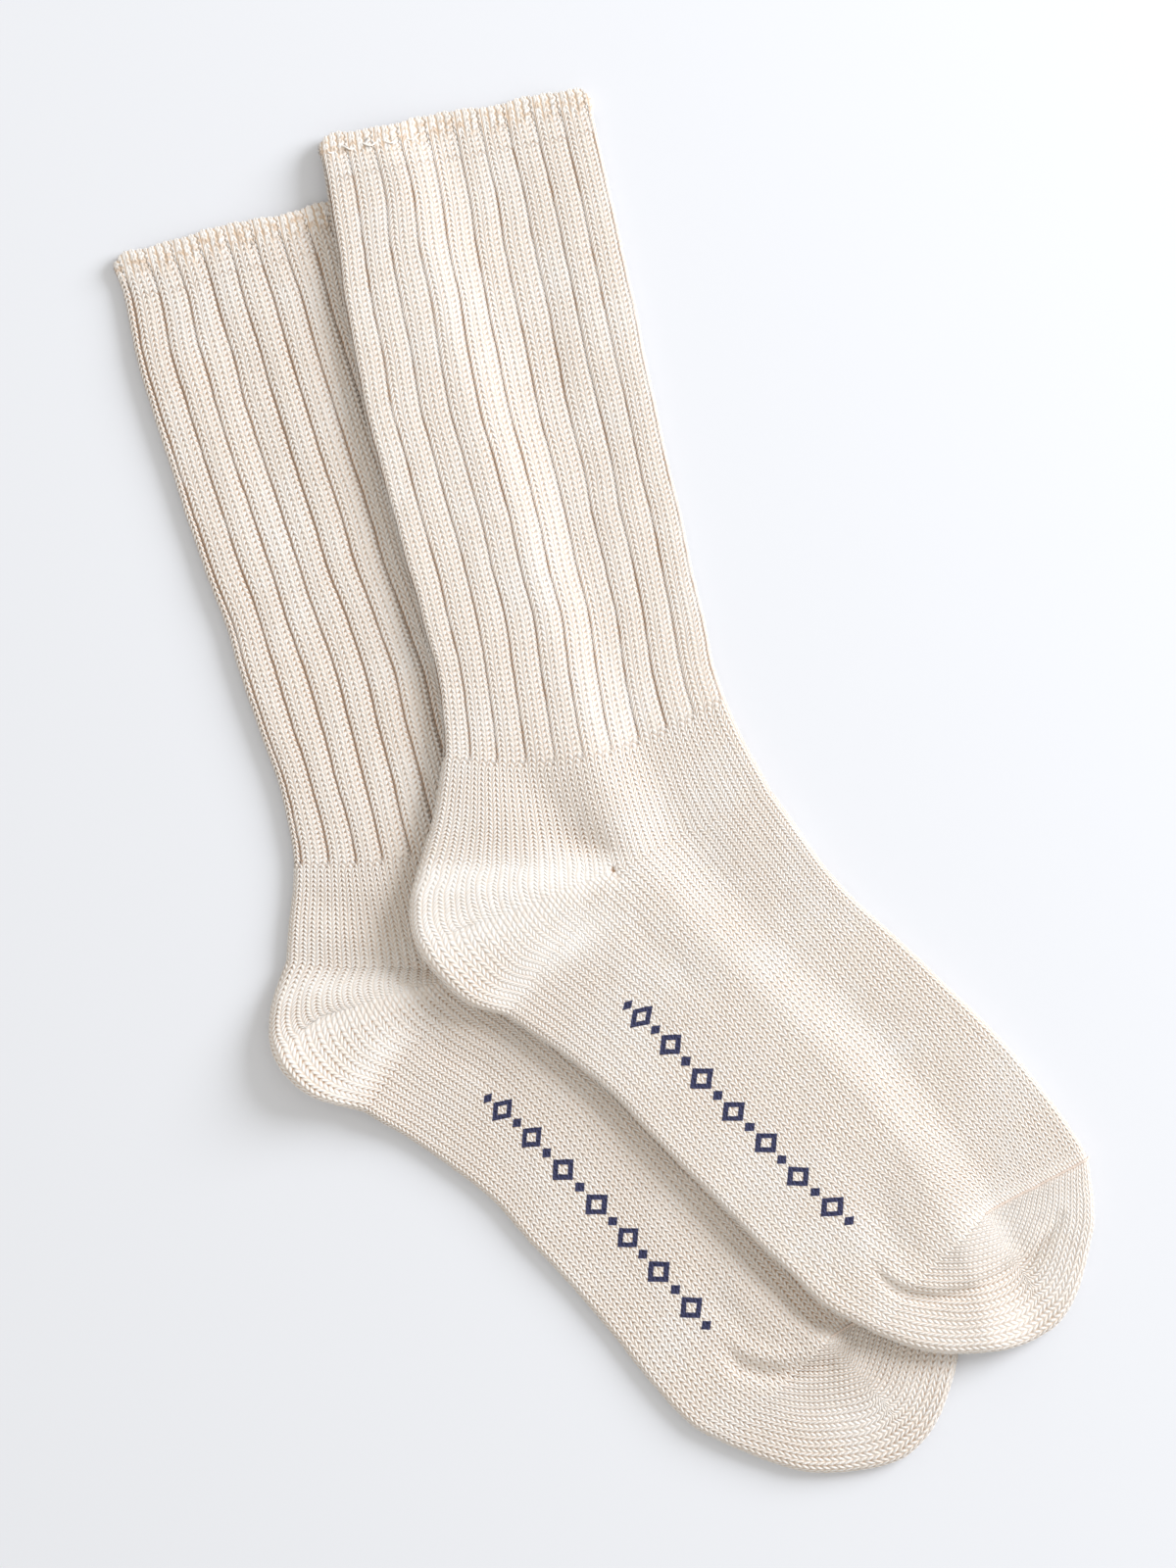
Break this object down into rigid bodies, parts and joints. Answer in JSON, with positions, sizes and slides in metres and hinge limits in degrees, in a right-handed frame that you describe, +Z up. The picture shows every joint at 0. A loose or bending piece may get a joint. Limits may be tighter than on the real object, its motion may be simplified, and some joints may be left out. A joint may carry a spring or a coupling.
{
  "type": "pair of crew socks",
  "caption": "Crew socks laid flat, one lapping over the other: chunky cotton knit tubes with a ribbed leg, turned heel and rounded closed toe, open at the cuff",
  "frame": {"origin": "on the table, at the bottom centre of the pair's bounding box", "axes": "+Y towards the cuffs, +X towards the toes, +Z up off the table; both socks lie flat with the sole to the lower left"},
  "size_m": [0.3157, 0.4467, 0.0126],
  "materials": {
    "back_cotton": "undyed cream cotton, chunky knit, matt",
    "front_cotton": "undyed cream cotton, chunky knit, matt"
  },
  "bodies": {
    "root": {"back_sock": "back_cotton", "front_sock": "front_cotton"}
  },
  "joints": []
}
